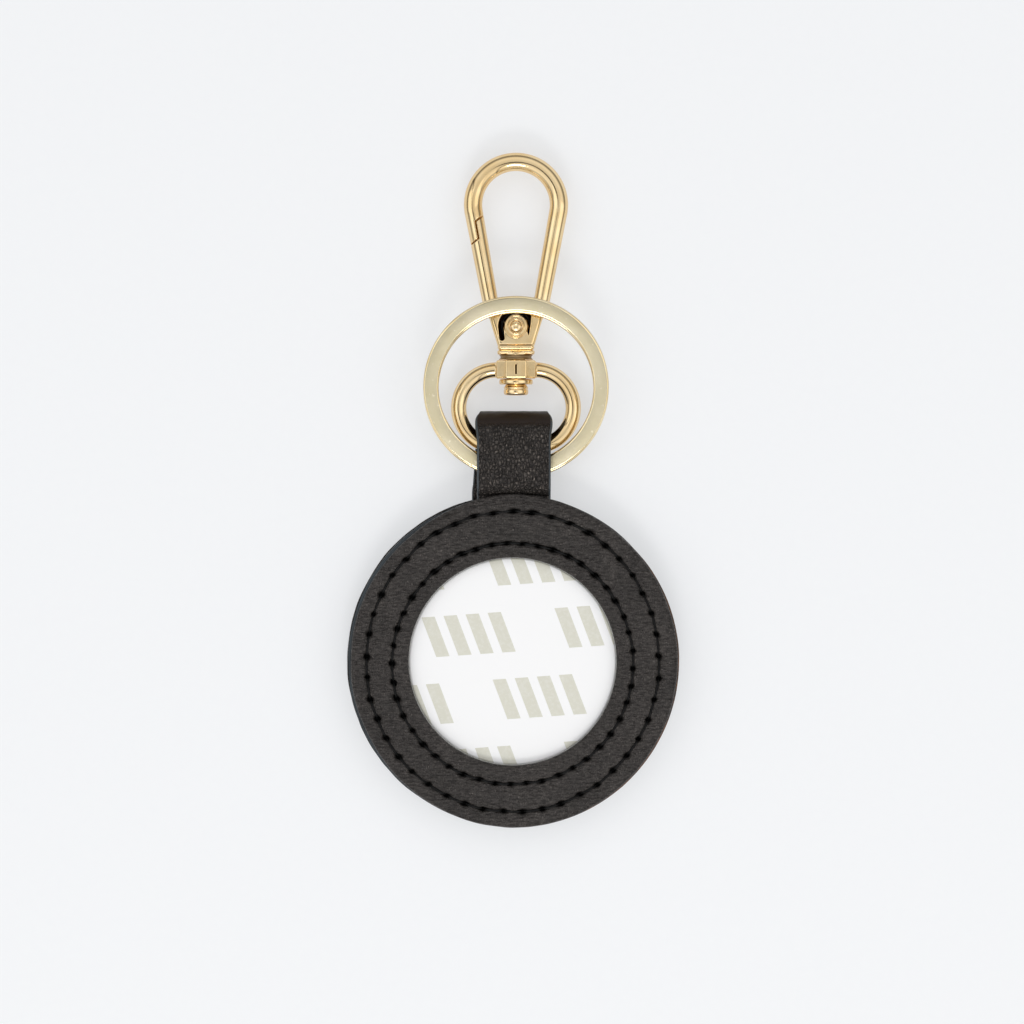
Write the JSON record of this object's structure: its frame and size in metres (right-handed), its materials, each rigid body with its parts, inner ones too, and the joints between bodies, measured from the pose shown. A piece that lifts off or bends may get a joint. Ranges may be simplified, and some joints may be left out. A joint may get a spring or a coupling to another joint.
{
  "type": "bluetooth tracker tag",
  "caption": "Round leather tracker tag with a windowed front ring, strap loop, flat key ring and swivel snap hook.",
  "frame": {"origin": "centre of the tag's flat back face", "axes": "+Z out of the front of the tag, +Y from the tag's centre towards the snap hook's tip, +X to the right seen from the front"},
  "size_m": [0.0544, 0.1101, 0.0112],
  "materials": {
    "leather_front": "fine pebbled grain, satin",
    "leather_back": "fine grain, satin",
    "leather_strap": "pebbled grain, satin",
    "core_board": "painted edge",
    "thread": "waxed black thread",
    "adhesive": "milky acrylic adhesive",
    "liner": "coated paper with a pale printed pattern",
    "module_plastic": "fine moulded texture",
    "seal": "matte",
    "board": "solder mask",
    "cell_steel": "satin",
    "contact": "plated",
    "sounder_brass": "satin",
    "chip": "matte",
    "crystal_can": "satin",
    "antenna_ceramic": "matte",
    "ring_gold": "brushed pale gold plating",
    "hardware_gold": "polished warm gold plating",
    "gate_gold": "polished warm gold plating",
    "rivet_gold": "polished warm gold plating",
    "spring_steel": "dark oiled"
  },
  "bodies": {
    "tag": {"front_ring": "leather_front", "core_ring": "core_board", "back_disc": "leather_back", "strap_loop": "leather_strap", "outer_stitching": "thread", "inner_stitching": "thread", "adhesive_disc": "adhesive", "module_rear_case": "module_plastic", "module_front_cover": "module_plastic", "module_seal": "seal", "circuit_board": "board", "coin_cell": "cell_steel", "cell_contact_top": "contact", "cell_contact_bottom": "contact", "piezo_sounder": "sounder_brass", "radio_chip": "chip", "crystal": "crystal_can", "chip_antenna": "antenna_ceramic"},
    "liner": {"release_liner": "liner"},
    "ring": {"split_ring": "ring_gold"},
    "eye": {"swivel_eye": "hardware_gold"},
    "hook": {"hook_body": "hardware_gold", "swivel_stem": "rivet_gold", "swivel_washer": "hardware_gold", "gate_rivet": "rivet_gold", "gate_spring": "spring_steel"},
    "gate": {"gate": "gate_gold"}
  },
  "joints": [
    {"name": "eye_fold", "type": "hinge", "parent": "tag", "child": "eye", "pos_m": [0.00055, 0.03592, 0.0035], "axis": [1, 0, 0], "range_deg": [-95, 0]},
    {"name": "hook_swivel", "type": "hinge", "parent": "eye", "child": "hook", "pos_m": [0.00055, 0.0475, 0.0035], "axis": [0, 1, 0], "continuous": true},
    {"name": "gate_open", "type": "hinge", "parent": "hook", "child": "gate", "pos_m": [0.00055, 0.0545, 0.0035], "axis": [0, 0, -1], "range_deg": [0, 28], "stiffness_Nm_per_rad": 0.02, "springref_deg": -17.19},
    {"name": "ring_lift", "type": "hinge", "parent": "tag", "child": "ring", "pos_m": [0.00055, 0.032, 0.0035], "axis": [1, 0, 0], "range_deg": [0, 110]},
    {"name": "liner_lift", "type": "slide", "parent": "tag", "child": "liner", "axis": [0, 0, 1], "range_m": [0, 0.012]}
  ]
}
